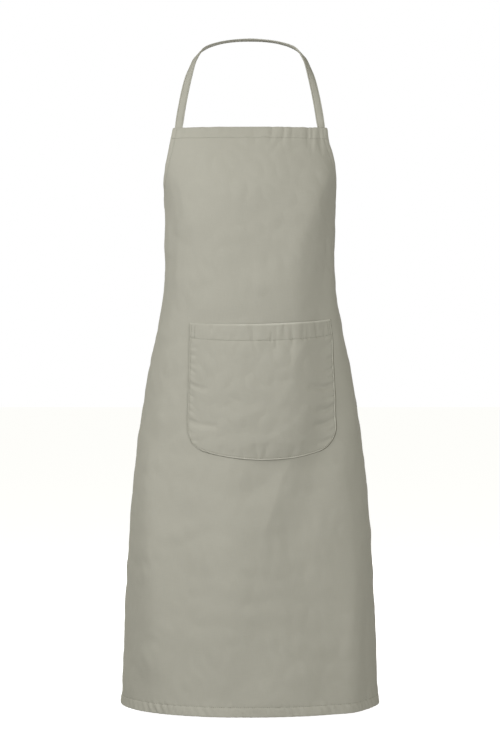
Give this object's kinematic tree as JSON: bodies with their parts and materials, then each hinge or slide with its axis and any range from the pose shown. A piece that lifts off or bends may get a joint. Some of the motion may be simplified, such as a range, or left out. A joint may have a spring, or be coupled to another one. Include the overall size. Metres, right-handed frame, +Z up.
{
  "type": "kitchen apron",
  "caption": "Bib apron in worn form: bib and skirt in one cloth with curved armholes, a wide patch pocket, a neck strap loop and waist ties closed behind.",
  "frame": {"origin": "middle of the neck strap's inner face at the nape, where the strap rests on the wearer", "axes": "+Z up along the wearer, the front of the apron faces -Y, +X is to the right as seen from the front"},
  "size_m": [0.3918, 0.2768, 1.0284],
  "materials": {
    "apron_cloth": "matt fine twill, sage beige",
    "strap_tape": "matt folded tape of the same cloth"
  },
  "bodies": {
    "root": {"front_panel": "apron_cloth", "bib_hem": "apron_cloth", "armhole_hem_left": "apron_cloth", "armhole_hem_right": "apron_cloth", "side_hem_left": "apron_cloth", "side_hem_right": "apron_cloth", "bottom_hem": "apron_cloth", "pocket": "apron_cloth", "pocket_hem": "apron_cloth", "neck_strap": "strap_tape", "waist_tie_left": "strap_tape", "waist_tie_right": "strap_tape", "waist_knot": "strap_tape", "tie_end_left": "strap_tape", "tie_end_right": "strap_tape"}
  },
  "joints": []
}
